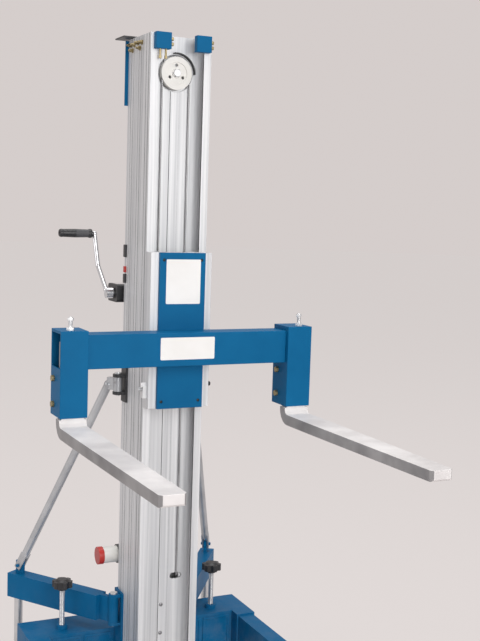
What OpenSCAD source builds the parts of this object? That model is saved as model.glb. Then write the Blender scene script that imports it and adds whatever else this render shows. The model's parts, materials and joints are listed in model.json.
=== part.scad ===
// Material hoist: a hand-cranked forklift mast on a wheeled base.
// Three interlocking aluminium columns, a fork carriage, a geared winch and
// two swing-out stabilizers. Millimetres, +Z up, forks towards -Y.

/* [Mast] */
// Width of each mast column
mast_w = 178; // [150:1:220]
// Depth of one column, front to back
column_depth = 58; // [52:1:70]
// Gap between the faces of neighbouring columns
column_gap = 2; // [1:0.5:4]
// Thickness of a column's side walls
column_wall = 7; // [5:0.5:9]
// Width of the front lips
lip_w = 22; // [18:1:26]
// Thickness of the front lips
lip_t = 6; // [4:0.5:8]
// Thickness of the web
web_t = 6; // [4:0.5:8]
// Depth of the web's back behind the column's front face
web_back = 50; // [46:1:51]
// Length of each column
column_len = 1885; // [1500:1:2200]
// Depth of the grooves along the column's sides
groove_d = 1.5; // [0.5:0.1:2.5]
// Thickness of the rails that hook behind the lips
rail_t = 6; // [4:0.5:8]
// Distance of the rails' necks from the centre line
rail_in = 52; // [44:1:56]
// Clearance between a rail and the lip it hooks behind
rail_gap = 0.5; // [0.3:0.1:0.8]
// Clearance between a glide pad and the lip beside it
glide_gap = 0.3; // [0.2:0.1:0.6]

/* [Carriage] */
// Height of the carriage plate's lower edge above the floor
carriage_z = 960; // [900:1:1050]
// Height of the carriage
carriage_h = 430; // [380:1:480]
// Width of the blue plate
plate_w = 134; // [110:1:150]
// Thickness of the blue plate
plate_t = 10; // [6:1:14]
// Width of the silver channel frame
channel_w = 180; // [170:1:200]
// Depth of the silver channel frame
channel_d = 38; // [30:1:46]
// Wall of the silver channel frame
channel_t = 5; // [3:0.5:7]
// Height of the fork beam
beam_h = 90; // [70:1:110]
// Depth of the fork beam
beam_d = 68; // [50:1:80]
// Wall of the fork beam
beam_t = 4; // [3:0.5:6]
// Height of the beam's lower face above the carriage's lower edge
beam_lift = 128; // [100:1:160]

/* [Forks] */
// Distance between the outer faces of the fork brackets
fork_span = 728; // [640:2:800]
// Width of a fork bracket
bracket_w = 74; // [66:1:90]
// Depth of a fork bracket
bracket_d = 88; // [80:1:100]
// Height of a fork bracket
bracket_h = 226; // [200:1:260]
// Wall of a fork bracket
bracket_t = 6; // [4:0.5:8]
// Height of the bracket's top above the fork beam
bracket_over = 12; // [4:1:20]
// Length of a fork blade in front of its shank
blade_len = 700; // [500:10:900]
// Width of a blade at its heel
blade_w = 74; // [60:1:90]
// Width of a blade at its tip
blade_tip_w = 62; // [44:1:70]
// Thickness of a blade
blade_t = 30; // [24:1:38]
// Inner radius of the heel's bend
heel_r = 14; // [8:1:24]

/* [Winch] */
// Height of the crank shaft above the floor
crank_z = 1258; // [1150:1:1400]
// Distance of the crank shaft behind the mast
crank_back = 51; // [50:1:56]
// Radius of the crank
crank_r = 175; // [150:1:230]
// Tilt of the crank at rest, towards the rear
crank_tilt = 12; // [0:1:60]
// Module of the winch gears
gear_module = 2.5; // [2:0.5:3]
// Teeth of the drum gear
gear_teeth = 46; // [40:2:50]
// Teeth of the pinion
pinion_teeth = 12; // [11:1:14]
// Radius of the drum's core
drum_r = 22; // [18:1:26]
// Length of the drum between its flanges
drum_len = 72; // [60:1:80]
// Diameter of the wire rope
rope_d = 5; // [4:0.5:6]
// Turns of rope on the drum
rope_turns = 9; // [6:1:11]
// Radius at which rope runs on a sheave
sheave_r = 40; // [34:1:44]

/* [Base] */
// Distance between the outer faces of the front legs
leg_span = 700; // [620:2:780]
// Width of a front leg
leg_w = 50; // [40:1:60]
// Height of a front leg
leg_h = 90; // [70:1:110]
// Height of the legs' top above the floor
leg_top = 250; // [235:1:280]
// Wall of a front leg
leg_t = 3; // [2:0.5:5]
// Reach of the legs in front of the mast
leg_reach = 790; // [600:10:900]
// Wall of the sockets that hold the legs
socket_t = 5; // [3:0.5:8]
// Clearance of a leg in its socket
leg_fit = 0.2; // [0.1:0.1:0.5]
// Depth of the rear cross beam, front to back
cross_d = 130; // [110:1:150]
// Height of the rear cross beam
cross_h = 115; // [100:1:130]
// Diameter of the front caster wheels
caster_d = 125; // [100:1:140]
// Width of the front caster wheels
caster_w = 32; // [26:1:40]
// Diameter of the rear wheels
wheel_d = 150; // [120:1:170]
// Width of the rear wheels
wheel_w = 38; // [30:1:44]

/* [Stabilizers] */
// Length of an arm from its pivot to its end
arm_len = 395; // [340:1:440]
// Angle of an arm from straight back
arm_angle = 34; // [20:1:36]
// Height of an arm's top above the floor
arm_top = 365; // [350:1:368]
// Height of an arm's section
arm_h = 75; // [60:1:80]
// Width of an arm's section
arm_w = 46; // [40:1:48]
// Height of the brace's upper pivot
brace_z = 1000; // [900:1:1100]
// Diameter of a brace
brace_d = 24; // [18:1:30]
// Diameter of a stabilizer's foot pad
pad_d = 84; // [60:1:100]
// Height of the left levelling knob's underside
left_knob_z = 374; // [370:1:410]
// Height of the right levelling knob's underside
right_knob_z = 370; // [370:1:410]
// Diameter of the levelling screws
screw_d = 16; // [12:1:20]

/* [Hidden] */
$fn = 48;
e = 0.01;
run_gap = 0.1;
seat_gap = 0.3;
foot_z = 95;
mast_top = foot_z + column_len;
pitch = column_depth + column_gap;
mast_d = 3 * column_depth + 2 * column_gap;
mast_front = -mast_d / 2;
mast_back = mast_d / 2;
function column_y(k) = mast_front + (3 - k) * pitch;
web_front = web_back - web_t;
mouth = mast_w / 2 - lip_w;
flange_y = pitch + lip_t + rail_gap;
rail_out = mast_w / 2 - column_wall - 1.5;

carriage_top = carriage_z + carriage_h;
channel_back = mast_front - column_gap;
channel_front = channel_back - channel_d;
plate_front = channel_front - plate_t;
beam_z = carriage_z + beam_lift;
beam_front = plate_front - beam_d;
bracket_front = beam_front - 14;
bracket_top = beam_z + beam_h + bracket_over;
bracket_z = bracket_top - bracket_h;
bracket_x = fork_span / 2 - bracket_w / 2;
shank_y = bracket_front + bracket_t + seat_gap + blade_t / 2;
blade_top = bracket_z - heel_r - 8;
fork_tip = shank_y - blade_t / 2 - blade_len;

arm_pivot_x = mast_w / 2 + 23;
arm_pivot_y = column_y(1) + column_depth / 2;
jack_r = arm_len - 26;
ear_t = 9;
barrel_h = 41;
arm_end_y = arm_pivot_y + jack_r * cos(arm_angle) + pad_d / 2;
// Puts the middle of the footprint at the origin
mast_y = -(fork_tip + arm_end_y) / 2;

sheave_z = mast_top - 100;
sheave_y = mast_front + web_front - 6;
sheave_w = 14;
groove_r = sheave_r - rope_d / 2 - seat_gap;
window_r = sheave_r + 11;
rear_sheave_z = mast_top - 80;
cheek_in = sheave_w / 2 + 0.6;
cheek_out = cheek_in + 5;

cross_y = mast_back + 11;
cross_top = leg_top + socket_t;
leg_x = leg_span / 2 - leg_w / 2;
leg_front = mast_front - leg_reach;
socket_len = 170;
socket_y = cross_y + cross_d - socket_len;
leg_rear = cross_y + cross_d - 6;
knob_x = 242;
knob_y = cross_y + 48;
// Keeps a rear wheel clear of the stabilizer's foot beside it
wheel_clear = 64;
wheel_x = arm_pivot_x + jack_r * sin(arm_angle) - wheel_clear;
wheel_y = cross_y + cross_d + 70;
caster_y = leg_front + 34;
caster_trail = 30;

crank_y = mast_back + crank_back;
gear_r = gear_module * gear_teeth / 2;
pinion_r = gear_module * pinion_teeth / 2;
shaft_gap = gear_r + pinion_r;
drum_y = mast_back + gear_r + gear_module + 4;
drum_z = crank_z - sqrt(pow(shaft_gap, 2) - pow(drum_y - crank_y, 2));
frame_x = drum_len / 2 + 10;
frame_t = 5;
rope_r = drum_r + seat_gap + rope_d / 2;
rear_rope_y = drum_y - rope_r;
rear_sheave_y = rear_rope_y - sheave_r;
// The rope's fall starts just clear of the turn below it
fall_z = drum_z + sqrt(pow(rope_r, 2) - pow(drum_r - rope_d / 2, 2)) + 1.5;
housing_x = -mast_w / 2 - 14;
crank_x = housing_x - 16;
grip_len = 100;
block_x = 59;
block_w = 44;
block_d = 20;
block_h = 44;
top_plate_y = column_y(1) + lip_t + rail_gap + rail_t + 1.5;
canister_z = 474;
canister_r = 24;
canister_x = -128;
canister_len = 198;
cap_len = 16;
neck_len = 12;
canister_y = mast_back + 10 + canister_r;

blue = [0.06, 0.39, 0.60];
zinc = [0.78, 0.79, 0.80];
black = [0.08, 0.08, 0.09];
nylon = [0.93, 0.92, 0.88];

// Moves a shape from the mast's own frame to the part's frame
module at_mast() {
    translate([0, mast_y, 0]) children();
}

// A round bar between two points
module bar(from, to, d) {
    run = to - from;
    length = norm(run);
    translate(from)
        rotate([0, acos(run[2] / length), atan2(run[1], run[0])])
            cylinder(h = length, d = d);
}

// A cylinder along X, starting at its left end
module rod_x(d, length) {
    rotate([0, 90, 0]) cylinder(h = length, d = d);
}

// A cylinder along Y, starting at its front end
module rod_y(d, length) {
    rotate([-90, 0, 0]) cylinder(h = length, d = d);
}

// A hexagon head along Z
module hex_head(across, height) {
    cylinder(h = height, d = across / cos(30), $fn = 6);
}

// A rounded rectangle, centred
module round_rect(w, h, r) {
    for (x = [-1, 1])
        for (y = [-1, 1])
            translate([x * (w / 2 - r), y * (h / 2 - r)]) circle(r);
    square([w - 2 * r, h], center = true);
    square([w, h - 2 * r], center = true);
}

// A pair of hooked rails behind a face at y = 0 that ride in the next channel
module rail_pair_2d(start, hook) {
    for (side = [0, 1])
        mirror([side, 0]) {
            translate([rail_in, start - e]) square([rail_t + 1, hook + rail_t - start + e]);
            translate([rail_in, hook]) square([rail_out - rail_in, rail_t]);
        }
}

// Section of a mast column, its front face at y = 0
module column_2d(rails) {
    difference() {
        union() {
            difference() {
                translate([-mast_w / 2, 0]) square([mast_w, column_depth]);
                translate([-mast_w / 2 + column_wall, lip_t])
                    square([mast_w - 2 * column_wall, web_front - lip_t]);
                translate([-mouth, -1]) square([2 * mouth, lip_t + 2]);
                translate([-mast_w / 2 + column_wall, web_back])
                    square([mast_w - 2 * column_wall, column_depth]);
            }
            translate([-13, web_front - 3]) square([26, 3 + e]);
            if (rails) rail_pair_2d(web_back, flange_y);
        }
        for (side = [-1, 1])
            for (y = [14, 33])
                translate([side * mast_w / 2, y]) square([2 * groove_d, 3], center = true);
    }
}

// A mast column standing on the foot plate
module column_bar(k) {
    translate([0, column_y(k), foot_z + (k == 1 ? 0 : seat_gap)])
        linear_extrude(column_len - (k == 1 ? 0 : seat_gap)) column_2d(k > 1);
}

// Nylon pads beside the rails of a column, in the mouth of the one behind
module glide_pads(k, heights) {
    pad = mouth - glide_gap - rail_in - rail_t - 1;
    for (side = [0, 1])
        mirror([side, 0, 0])
            for (z = heights)
                translate([rail_in + rail_t + 1, column_y(k) + pitch + 0.4, z])
                    cube([pad, lip_t - 0.2, 120]);
}

// A grooved sheave turning about Z, centred
module sheave_body(bore) {
    rim = sheave_r + 5;
    difference() {
        rotate_extrude()
            difference() {
                translate([bore, -sheave_w / 2]) square([rim - bore, sheave_w]);
                translate([sheave_r + 0.2, 0]) circle(r = rope_d / 2 + seat_gap);
                translate([sheave_r + 0.2, -rope_d / 2 - seat_gap]) square([10, rope_d + 2 * seat_gap]);
                translate([13, 4]) square([groove_r - 20, sheave_w]);
                translate([13, -4 - sheave_w]) square([groove_r - 20, sheave_w]);
            }
        for (a = [90, 210, 330])
            rotate(a) translate([22, 0, -sheave_w]) cylinder(h = 2 * sheave_w, r = 4.5);
    }
}

// A spur gear's outline
module gear_2d(teeth) {
    r = gear_module * teeth / 2;
    inner = r - 1.25 * gear_module;
    outer = r + 0.9 * gear_module;
    step = 360 / teeth;
    polygon([for (i = [0 : teeth - 1])
        each [
            for (p = [[inner, -0.33], [r, -0.19], [outer, -0.08], [outer, 0.08], [r, 0.19], [inner, 0.33]])
                p[0] * [cos((i + p[1]) * step), sin((i + p[1]) * step)]
        ]]);
}

module base_frame() {
    color(blue) at_mast() {
        difference() {
            union() {
                // Plate under the columns
                translate([-110, mast_front - 6, foot_z - 12]) cube([220, mast_d + 12, 12]);
                // Back plate that the rear column is bolted to
                translate([-mast_w / 2 - 6, mast_back, foot_z - 12])
                    cube([mast_w + 12, 11, arm_top + 26 - foot_z]);
                for (x = [-104, 96])
                    translate([x, mast_front + 40, foot_z]) cube([8, mast_d - 40 + e, 46]);
                // Rear cross beam, a box with two sunk front panels
                translate([-leg_x + leg_w / 2 + leg_fit, cross_y - e, cross_top - cross_h])
                    cube([2 * leg_x - leg_w - 2 * leg_fit, cross_d + e, cross_h]);
                for (side = [-1, 1]) {
                    leg_socket(side);
                    arm_hinge(side);
                    wheel_ears(side);
                    translate([side * knob_x, knob_y, cross_top]) cylinder(h = 12, d = 34);
                }
            }
            translate([-leg_x + leg_w, cross_y + 8, cross_top - cross_h + 6])
                cube([2 * (leg_x - leg_w), cross_d - 16, cross_h - 14]);
            for (side = [-1, 1])
                translate([side * knob_x, knob_y, 0]) cylinder(h = 400, d = screw_d + 2 * run_gap);
        }
        for (side = [-1, 1])
            translate([side * knob_x, knob_y, cross_top - cross_h])
                difference() {
                    cylinder(h = cross_h, d = 30);
                    translate([0, 0, -1]) cylinder(h = cross_h + 2, d = screw_d + 2 * run_gap);
                }
    }
}

// Sleeve around the rear end of a front leg
module leg_socket(side) {
    w = leg_w + 2 * leg_fit;
    h = leg_h + 2 * leg_fit;
    translate([side * leg_x, socket_y, leg_top - leg_h / 2])
        difference() {
            translate([-w / 2 - socket_t, 0, -h / 2 - socket_t])
                cube([w + 2 * socket_t, socket_len, h + 2 * socket_t]);
            translate([-w / 2, -1, -h / 2]) cube([w, socket_len - 5, h]);
        }
}

// Two ears on the mast's side that hold an arm's pivot
module arm_hinge(side) {
    for (z = [arm_top - arm_h - seat_gap - ear_t, arm_top + seat_gap])
        hinge_ear(side, z, 14);
    translate([side * (mast_w / 2 + 3) - 3, arm_pivot_y - 24, foot_z])
        cube([6, mast_back + 11 - arm_pivot_y + 24, arm_top + 14 - foot_z]);
}

// A flat ear on the mast's side with an upright hole at the pivot
module hinge_ear(side, z, bore) {
    reach = arm_pivot_x - mast_w / 2;
    translate([side * arm_pivot_x, arm_pivot_y, z])
        difference() {
            union() {
                cylinder(h = ear_t, r = 15);
                translate([side < 0 ? 0 : -reach, -15, 0]) cube([reach, 30, ear_t]);
            }
            translate([0, 0, -1]) cylinder(h = ear_t + 2, d = bore);
        }
}

// Two ears that hold a rear wheel's axle
module wheel_ears(side) {
    for (x = [-wheel_w / 2 - 9, wheel_w / 2 + 3])
        translate([side * wheel_x + x, 0, 0])
            rotate([90, 0, 90])
                linear_extrude(6)
                    difference() {
                        union() {
                            translate([wheel_y, wheel_d / 2]) circle(22);
                            polygon([
                                [cross_y + cross_d - 1, cross_top - cross_h],
                                [cross_y + cross_d - 1, cross_top - 20],
                                [wheel_y + 14, wheel_d / 2 + 17],
                                [wheel_y - 14, wheel_d / 2 - 17]
                            ]);
                        }
                        translate([wheel_y, wheel_d / 2]) circle(8.1);
                    }
}

// A hollow front leg, closed at its front end
module front_leg(side) {
    color(blue) at_mast()
        translate([side * leg_x, 0, leg_top - leg_h])
            difference() {
                translate([-leg_w / 2, leg_front, 0]) cube([leg_w, leg_rear - leg_front, leg_h]);
                translate([-leg_w / 2 + leg_t, leg_front + leg_t, leg_t])
                    cube([leg_w - 2 * leg_t, leg_rear - leg_front, leg_h - 2 * leg_t]);
                translate([0, caster_y, -1]) cylinder(h = leg_t + 2, d = 20);
            }
}

module left_leg() { front_leg(-1); }
module right_leg() { front_leg(1); }

// Bolts that hold the legs and the mast's foot
module base_bolts() {
    color([0.55, 0.48, 0.32]) at_mast() {
        for (side = [-1, 1])
            for (y = [socket_y + 30, socket_y + 110])
                translate([side * (leg_x + leg_w / 2 + leg_fit + socket_t), y, leg_top - leg_h / 2])
                    rotate([0, side * 90, 0]) hex_head(18, 9);
        for (x = [-60, 60])
            translate([x, mast_back + 11, cross_top + 60]) rotate([-90, 0, 0]) hex_head(18, 9);
    }
}

module column_1() {
    color(zinc) at_mast()
        difference() {
            column_bar(1);
            translate([-cheek_out - 4, column_y(1) + 2, rear_sheave_z - sheave_r - 18])
                cube([2 * cheek_out + 8, column_depth + 4, sheave_r + 120]);
        }
}

// Blue plate at the top of the rear column, with cheeks and axle for its sheave
module rear_head() {
    color(blue) at_mast() {
        difference() {
            translate([-mast_w / 2 - 9, mast_back, mast_top - 184]) cube([mast_w + 18, 5, 180]);
            translate([-cheek_in, mast_back - 1, rear_sheave_z - sheave_r - 18])
                cube([2 * cheek_in, 7, 2 * sheave_r + 36]);
        }
        for (x = [-cheek_out, cheek_in])
            translate([x, rear_sheave_y - 20, rear_sheave_z - 24]) cube([5, 46, 48]);
        translate([-cheek_out - 3, rear_sheave_y, rear_sheave_z]) rod_x(12, 2 * cheek_out + 6);
    }
}

module rear_sheave() {
    color(nylon) at_mast()
        translate([0, rear_sheave_y, rear_sheave_z]) rotate([0, 90, 0]) sheave_body(6 + run_gap);
}

// Thin black plates on the top of the rear column, clear of the rails that rise beside them
module column_top_plates() {
    color(black) at_mast()
        for (side = [-1, 1])
            translate([side * (mast_w / 2 - 3) - 34, top_plate_y, mast_top])
                cube([68, mast_back + 30 - top_plate_y, 4]);
}

// Black brackets that hold the braces' upper pivots
module brace_brackets() {
    color(black) at_mast()
        for (side = [-1, 1])
            union() {
                translate([side * (mast_w / 2 + 3) - 3, arm_pivot_y - 20, brace_z - 52]) cube([6, 40, 104]);
                for (z = [brace_z - barrel_h / 2 - seat_gap - ear_t, brace_z + barrel_h / 2 + seat_gap])
                    hinge_ear(side, z, 12);
            }
}

// Upright pins of the stabilizers' hinges
module stabilizer_pins() {
    color(zinc) at_mast()
        for (side = [-1, 1])
            translate([side * arm_pivot_x, arm_pivot_y, 0]) {
                translate([0, 0, arm_top - arm_h - ear_t - 4]) cylinder(h = arm_h + 2 * ear_t + 6, d = 14);
                translate([0, 0, arm_top + seat_gap + ear_t]) cylinder(h = 5, d = 22);
                translate([0, 0, brace_z - barrel_h / 2 - ear_t - 4]) cylinder(h = barrel_h + 2 * ear_t + 6, d = 12);
                translate([0, 0, brace_z + barrel_h / 2 + seat_gap + ear_t]) cylinder(h = 5, d = 19);
            }
}

module column_2() {
    color(zinc) at_mast() column_bar(2);
}

module column_2_glides() {
    color(nylon) at_mast() glide_pads(2, [foot_z + 40, foot_z + 420]);
}

// The front column, with a round window for the head sheave
module column_3() {
    color(zinc) at_mast()
        difference() {
            column_bar(3);
            translate([0, mast_front + web_front - 8, sheave_z]) rod_y(2 * window_r, web_t + 12);
            // Flat seat for the rope guard, where the rib would stand in its way
            translate([-14, mast_front + web_front - 4, sheave_z]) cube([28, 4, mast_top - sheave_z + 1]);
            // Slot where the rope goes back into the mast
            translate([sheave_r, mast_front + web_front - 8, 447])
                rotate([-90, 0, 0]) linear_extrude(web_t + 12) round_rect(36, 18, 8.9);
        }
}

module column_3_glides() {
    color(nylon) at_mast() glide_pads(3, [foot_z + 40, foot_z + 420]);
}

// Blue end blocks on the lips at the front column's top
module top_blocks() {
    color(blue) at_mast()
        for (side = [-1, 1])
            translate([side * block_x - block_w / 2, mast_front - block_d, mast_top - block_h])
                cube([block_w, block_d, block_h]);
}

// Bolts and studs of the end blocks
module top_bolts() {
    color([0.55, 0.48, 0.32]) at_mast() {
        for (side = [-1, 1])
            for (z = [14, 28])
                translate([side * block_x + block_w / 2, mast_front - block_d / 2, mast_top - block_h + z])
                    rotate([0, 90, 0]) hex_head(9, 8);
        for (x = [-66, -50])
            translate([x, mast_front - block_d / 2, mast_top - block_h - 26]) {
                cylinder(h = 26, d = 6);
                hex_head(7.4, 8);
            }
    }
}

// Plate behind the web that carries the head sheave's axle
module sheave_carrier() {
    color(zinc) at_mast() {
        translate([-rail_in + 4, mast_front + web_back + 4, sheave_z - window_r - 30])
            cube([2 * rail_in - 8, 4, window_r + 50]);
        translate([-rail_in + 4, mast_front + web_back, sheave_z - window_r - 30])
            cube([2 * rail_in - 8, 4 + e, 22]);
        translate([0, sheave_y - sheave_w / 2 - 5, sheave_z])
            rod_y(12, mast_front + web_back + 5 - sheave_y + sheave_w / 2 + 5);
        translate([0, sheave_y - sheave_w / 2 - 7, sheave_z]) rod_y(20, 6.4);
        translate([0, sheave_y + sheave_w / 2 + 0.6, sheave_z])
            rod_y(20, mast_front + web_back + 4 - sheave_y - sheave_w / 2);
    }
}

// Black arc that keeps the rope on the head sheave, one end on the web
module rope_guard() {
    color(black) at_mast()
        translate([0, sheave_y, sheave_z])
            rotate([90, 0, 0])
                rotate_extrude(angle = 98) translate([window_r + 4, 0]) square([3, 12], center = true);
}

// Rope over the head sheave and down to the slot in the web
module head_rope() {
    color([0.6, 0.6, 0.62]) at_mast()
        translate([0, sheave_y, 0]) {
            translate([0, 0, sheave_z])
                rotate([90, 0, 0]) rotate_extrude(angle = 180) translate([sheave_r, 0]) circle(d = rope_d);
            translate([sheave_r, 0, 459]) cylinder(h = sheave_z - 459, d = rope_d);
            translate([sheave_r, 12, 459])
                rotate([90, 0, 0]) rotate([0, 90, 0])
                    rotate_extrude(angle = 90, start = 180) translate([12, 0]) circle(d = rope_d);
        }
}

module head_sheave() {
    color(nylon) at_mast()
        translate([0, sheave_y, sheave_z]) rotate([90, 0, 0]) sheave_body(6 + run_gap);
}

// Silver channel frame that rides on the front column
module carriage_frame() {
    color(zinc) at_mast()
        translate([0, channel_front, carriage_z])
            linear_extrude(carriage_h) {
                difference() {
                    translate([-channel_w / 2, 0]) square([channel_w, channel_d]);
                    translate([-channel_w / 2 + channel_t, channel_t])
                        square([channel_w - 2 * channel_t, channel_d - 2 * channel_t]);
                    square([plate_w - 30, 3 * channel_t], center = true);
                }
                rail_pair_2d(channel_d, channel_d + column_gap + lip_t + rail_gap);
            }
}

// Blue plate on the front of the channel frame
module carriage_plate() {
    color(blue) at_mast()
        translate([-plate_w / 2, plate_front, carriage_z])
            difference() {
                cube([plate_w, plate_t, carriage_h]);
                for (x = [12, plate_w - 12])
                    for (z = [20, carriage_h - 20])
                        translate([x, -1, z]) rod_y(9, 4);
            }
}

module carriage_glides() {
    pad = mouth - glide_gap - rail_in - rail_t - 1;
    color(nylon) at_mast()
        for (side = [0, 1])
            mirror([side, 0, 0])
                for (z = [carriage_z + 30, carriage_top - 110])
                    translate([rail_in + rail_t + 1, mast_front + 0.4, z]) cube([pad, lip_t - 0.2, 80]);
}

// Lug on the carriage that holds the rope's end
module rope_anchor() {
    color(zinc) at_mast()
        difference() {
            union() {
                translate([-sheave_r - 11, channel_back, carriage_top - 40])
                    cube([22, sheave_y - channel_back + rope_d / 2 + 2, 20]);
                translate([-sheave_r - 11, channel_back, carriage_top - 90]) cube([22, 6, 70]);
            }
            translate([-sheave_r, sheave_y, carriage_top - 50]) cylinder(h = 40, d = rope_d + 1);
        }
}

// Rope from the head sheave down to the carriage
module lift_rope() {
    color([0.6, 0.6, 0.62]) at_mast()
        translate([-sheave_r, sheave_y, carriage_top - 48]) {
            cylinder(h = sheave_z - carriage_top + 48, d = rope_d);
            cylinder(h = 7.5, d = 12);
        }
}

// Spring latch on the carriage's left side
module carriage_latch() {
    color(zinc) at_mast()
        translate([-channel_w / 2, channel_front + 10, carriage_z + 28]) {
            translate([-12, 0, 0]) cube([12, 20, 34]);
            translate([-22, 10, 24]) rod_x(8, 12);
            translate([-16, 4, 30]) cube([16, 4, 14]);
        }
}

module fork_beam() {
    inner = fork_span - 2 * bracket_w;
    color(blue) at_mast()
        translate([-inner / 2, beam_front, beam_z])
            difference() {
                cube([inner, beam_d, beam_h]);
                translate([-1, beam_t, beam_t]) cube([inner + 2, beam_d - 2 * beam_t, beam_h - 2 * beam_t]);
            }
}

// A folded bracket, open towards its outer side, that holds a fork's shank
module fork_bracket(side) {
    color(blue) at_mast()
        mirror([side > 0 ? 1 : 0, 0, 0])
            translate([-bracket_x - bracket_w / 2, bracket_front, bracket_z])
                difference() {
                    union() {
                        cube([bracket_w, bracket_t, bracket_h]);
                        translate([0, bracket_d - bracket_t, 0]) cube([bracket_w, bracket_t, bracket_h]);
                        translate([bracket_w - bracket_t, 0, 0]) cube([bracket_t, bracket_d, bracket_h]);
                        translate([0, 0, bracket_h - 8]) cube([bracket_w, bracket_d, 8]);
                        // Side plate over the lower half
                        cube([bracket_t, bracket_d, bracket_h * 0.57]);
                    }
                    translate([bracket_w / 2 - 6, bracket_t + blade_t / 2 + seat_gap, bracket_h - 20])
                        cylinder(h = 30, d = 13);
                }
}

module left_fork_bracket() { fork_bracket(-1); }
module right_fork_bracket() { fork_bracket(1); }

// Side outline of a fork: shank, bent heel and a blade that thins to its tip
module fork_side_2d(shank_top) {
    heel = [-blade_t / 2 - heel_r, blade_top + heel_r];
    tip = -blade_t / 2 - blade_len;
    polygon([
        [blade_t / 2, shank_top],
        for (a = [0 : -10 : -90]) heel + (heel_r + blade_t) * [cos(a), sin(a)],
        [tip + 6, blade_top - blade_t * 0.9],
        [tip, blade_top - blade_t * 0.74],
        [tip, blade_top],
        for (a = [-90 : 10 : 0]) heel + heel_r * [cos(a), sin(a)],
        [-blade_t / 2, shank_top]
    ]);
}

// A bent fork that tapers towards its chamfered tip
module fork(side) {
    shank_w = bracket_w - 2 * bracket_t - 2 * seat_gap;
    tip = -blade_t / 2 - blade_len;
    color(zinc) at_mast()
        translate([side * bracket_x, shank_y, 0])
            intersection() {
                rotate([90, 0, 90])
                    translate([0, 0, -blade_w / 2])
                        linear_extrude(blade_w) fork_side_2d(bracket_top - 30);
                linear_extrude(mast_top)
                    polygon([
                        [-blade_w / 2, blade_t], [blade_w / 2, blade_t], [blade_w / 2, -140],
                        [blade_tip_w / 2, tip + 9], [blade_tip_w / 2 - 8, tip - 1],
                        [-blade_tip_w / 2 + 8, tip - 1], [-blade_tip_w / 2, tip + 9],
                        [-blade_w / 2, -140]
                    ]);
                union() {
                    translate([-blade_w, -2 * blade_len, 0]) cube([2 * blade_w, 3 * blade_len, bracket_z - 4]);
                    translate([-shank_w / 2, -blade_len, bracket_z - 5]) cube([shank_w, 2 * blade_len, bracket_h]);
                }
            }
}

module left_fork() { fork(-1); }
module right_fork() { fork(1); }

// Cross bolts and top studs that clamp the forks in their brackets
module fork_bolts() {
    color([0.60, 0.52, 0.34]) at_mast()
        for (side = [-1, 1]) {
            for (z = [30, 98])
                translate([side * bracket_x, shank_y + blade_t / 2 + 22, bracket_z + z]) {
                    translate([-bracket_w / 2 - 8, 0, 0]) rotate([0, 90, 0]) hex_head(15, 8);
                    translate([bracket_w / 2, 0, 0]) rotate([0, 90, 0]) hex_head(15, 8);
                }
            translate([side * (bracket_x + 6), shank_y, bracket_top]) {
                translate([0, 0, -29]) cylinder(h = 65, d = 10);
                hex_head(19, 9);
                translate([0, 0, 26]) hex_head(15, 7);
            }
        }
}

// Welded frame of the winch on the back of the mast
module winch_frame() {
    low = drum_z - 34;
    high = crank_z + 26;
    deep = drum_y + 24;
    color(black) at_mast() {
        translate([-frame_x - frame_t, mast_back, low]) cube([2 * (frame_x + frame_t), 6, high - low]);
        for (x = [-frame_x - frame_t, frame_x])
            translate([x, 0, 0])
                rotate([90, 0, 90])
                    linear_extrude(frame_t)
                        difference() {
                            polygon([
                                [mast_back, low], [deep - 14, low], [deep, low + 14],
                                [deep, drum_z + 20], [crank_y + 24, high - 6], [crank_y + 18, high],
                                [mast_back, high]
                            ]);
                            translate([drum_y, drum_z]) circle(8 + run_gap);
                            translate([crank_y, crank_z]) circle(7 + run_gap);
                        }
    }
}

// Closed black housing of the winch's brake, beside the frame
module winch_housing() {
    color(black) at_mast()
        difference() {
            translate([housing_x, crank_y + 10, crank_z])
                rotate([90, 0, 90])
                    linear_extrude(-frame_x - frame_t - housing_x) round_rect(82, 52, 9);
            translate([housing_x - 1, crank_y, crank_z]) rod_x(14 + 2 * run_gap, 90);
        }
}

module winch_drum() {
    color(zinc) at_mast()
        translate([0, drum_y, drum_z])
            rotate([0, 90, 0])
                rotate_extrude()
                    polygon([
                        [0, -frame_x - frame_t - 6], [8, -frame_x - frame_t - 6], [8, -drum_len / 2 - 4],
                        [40, -drum_len / 2 - 4], [40, -drum_len / 2], [drum_r, -drum_len / 2],
                        [drum_r, drum_len / 2], [40, drum_len / 2], [40, drum_len / 2 + 4],
                        [8, drum_len / 2 + 4], [8, frame_x + frame_t + 18], [0, frame_x + frame_t + 18]
                    ]);
}

// Angle from the drum's shaft to the crank's shaft
mesh_angle = atan2(crank_z - drum_z, crank_y - drum_y);

module drum_gear() {
    color([0.45, 0.46, 0.48]) at_mast()
        translate([frame_x + frame_t + 3, drum_y, drum_z])
            rotate([90, 0, 90])
                linear_extrude(11)
                    difference() {
                        rotate(mesh_angle) gear_2d(gear_teeth);
                        circle(8);
                        for (a = [0 : 60 : 300]) rotate(a) translate([32, 0]) circle(10);
                    }
}

// One unbroken helix of rope on the drum
winding_pitch = rope_d + 0.8;
winding_rings = 24;
winding_sides = 6;
function winding_point(t) = [
    (t - rope_turns / 2) * winding_pitch,
    rope_r * cos(360 * t),
    rope_r * sin(360 * t)
];
function winding_ring(t) = [
    for (s = [0 : winding_sides - 1])
        let (a = 360 * s / winding_sides, r = rope_r + rope_d / 2 * cos(a))
            [winding_point(t)[0] + rope_d / 2 * sin(a), r * cos(360 * t), r * sin(360 * t)]
];
winding_steps = rope_turns * winding_rings;
echo(least_gap_in_winding = norm(winding_point(1) - winding_point(0)) - rope_d);

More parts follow.
